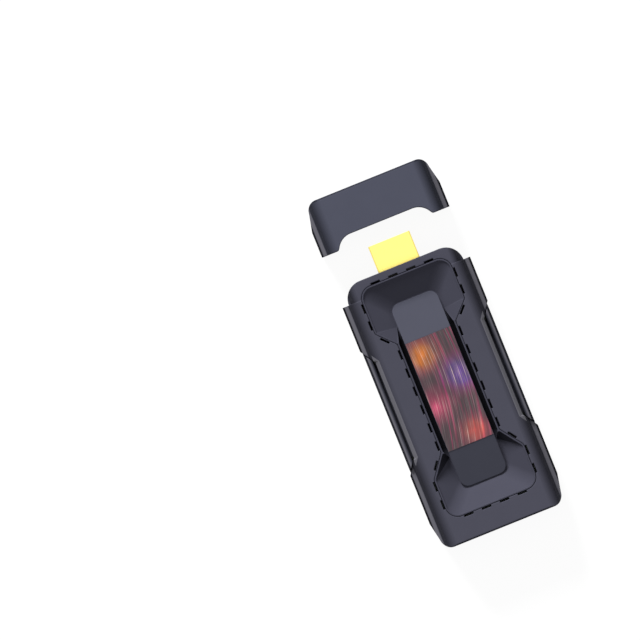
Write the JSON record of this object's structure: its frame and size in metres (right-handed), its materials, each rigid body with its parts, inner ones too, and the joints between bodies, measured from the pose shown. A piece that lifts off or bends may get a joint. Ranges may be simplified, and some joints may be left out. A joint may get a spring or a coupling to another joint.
{
  "type": "streaming media stick",
  "caption": "Flat streaming media stick with a video plug at one end, a dished face with a centre bar, side ports and a pull-off protective cap.",
  "frame": {"origin": "centre of the case's flat back, under the middle of the case's length", "axes": "+Y along the stick towards the plug, +Z out of the face with the centre bar, +X across, to the side with the data port"},
  "size_m": [0.043, 0.1168, 0.0155],
  "materials": {
    "case_plastic": "fine moulded grain, dark blue-grey",
    "tray_plastic": "fine moulded grain, dark blue-grey",
    "bar_plastic": "satin, dark blue-grey",
    "panel_plastic": "fine moulded grain, dark blue-grey",
    "label_print": "printed film, dark with magenta and orange light",
    "gold_plate": "bright gold plating",
    "connector_plastic": "black moulded",
    "board_laminate": "solder mask",
    "chip_black": "moulded package",
    "shield_steel": "nickel plated sheet",
    "ferrite": "sintered",
    "ceramic": "fired ceramic",
    "thermal_pad": "soft pad",
    "sink_aluminium": "black anodised",
    "window_plastic": "smoked",
    "light_clear": "clear"
  },
  "bodies": {
    "stick": {"bottom_case": "case_plastic", "top_cover": "case_plastic", "recess_tray": "tray_plastic", "centre_bar": "bar_plastic", "label_film": "label_print", "side_panel_right": "panel_plastic", "side_panel_left": "panel_plastic", "video_plug_shell": "gold_plate", "video_plug_insulator": "connector_plastic", "video_plug_contacts": "gold_plate", "main_board": "board_laminate", "processor": "chip_black", "memory_chips": "chip_black", "flash_chip": "chip_black", "power_manager": "chip_black", "wireless_module": "shield_steel", "antenna": "shield_steel", "clock_crystal": "shield_steel", "power_inductors": "ferrite", "board_capacitors": "ceramic", "thermal_pads": "thermal_pad", "heat_sink": "sink_aluminium", "data_port_shell": "shield_steel", "data_port_tongue": "connector_plastic", "data_port_contacts": "gold_plate", "power_port_shell": "shield_steel", "power_port_tongue": "connector_plastic", "power_port_contacts": "gold_plate", "card_slot_cover": "shield_steel", "card_slot_base": "connector_plastic", "card_slot_contacts": "gold_plate", "infrared_receiver": "window_plastic", "receiver_window": "window_plastic", "status_light": "light_clear", "light_pipe": "light_clear", "reset_switch": "shield_steel", "board_screws": "shield_steel"},
    "cap": {"cap": "case_plastic"},
    "reset_button": {"reset_plunger": "connector_plastic"}
  },
  "joints": [
    {"name": "cap_slide", "type": "slide", "parent": "stick", "child": "cap", "axis": [0, -1, 0], "range_m": [0, 0.01675]},
    {"name": "reset_press", "type": "slide", "parent": "stick", "child": "reset_button", "axis": [-1, 0, 0], "range_m": [0, 0.00025], "stiffness_N_per_m": 600}
  ]
}
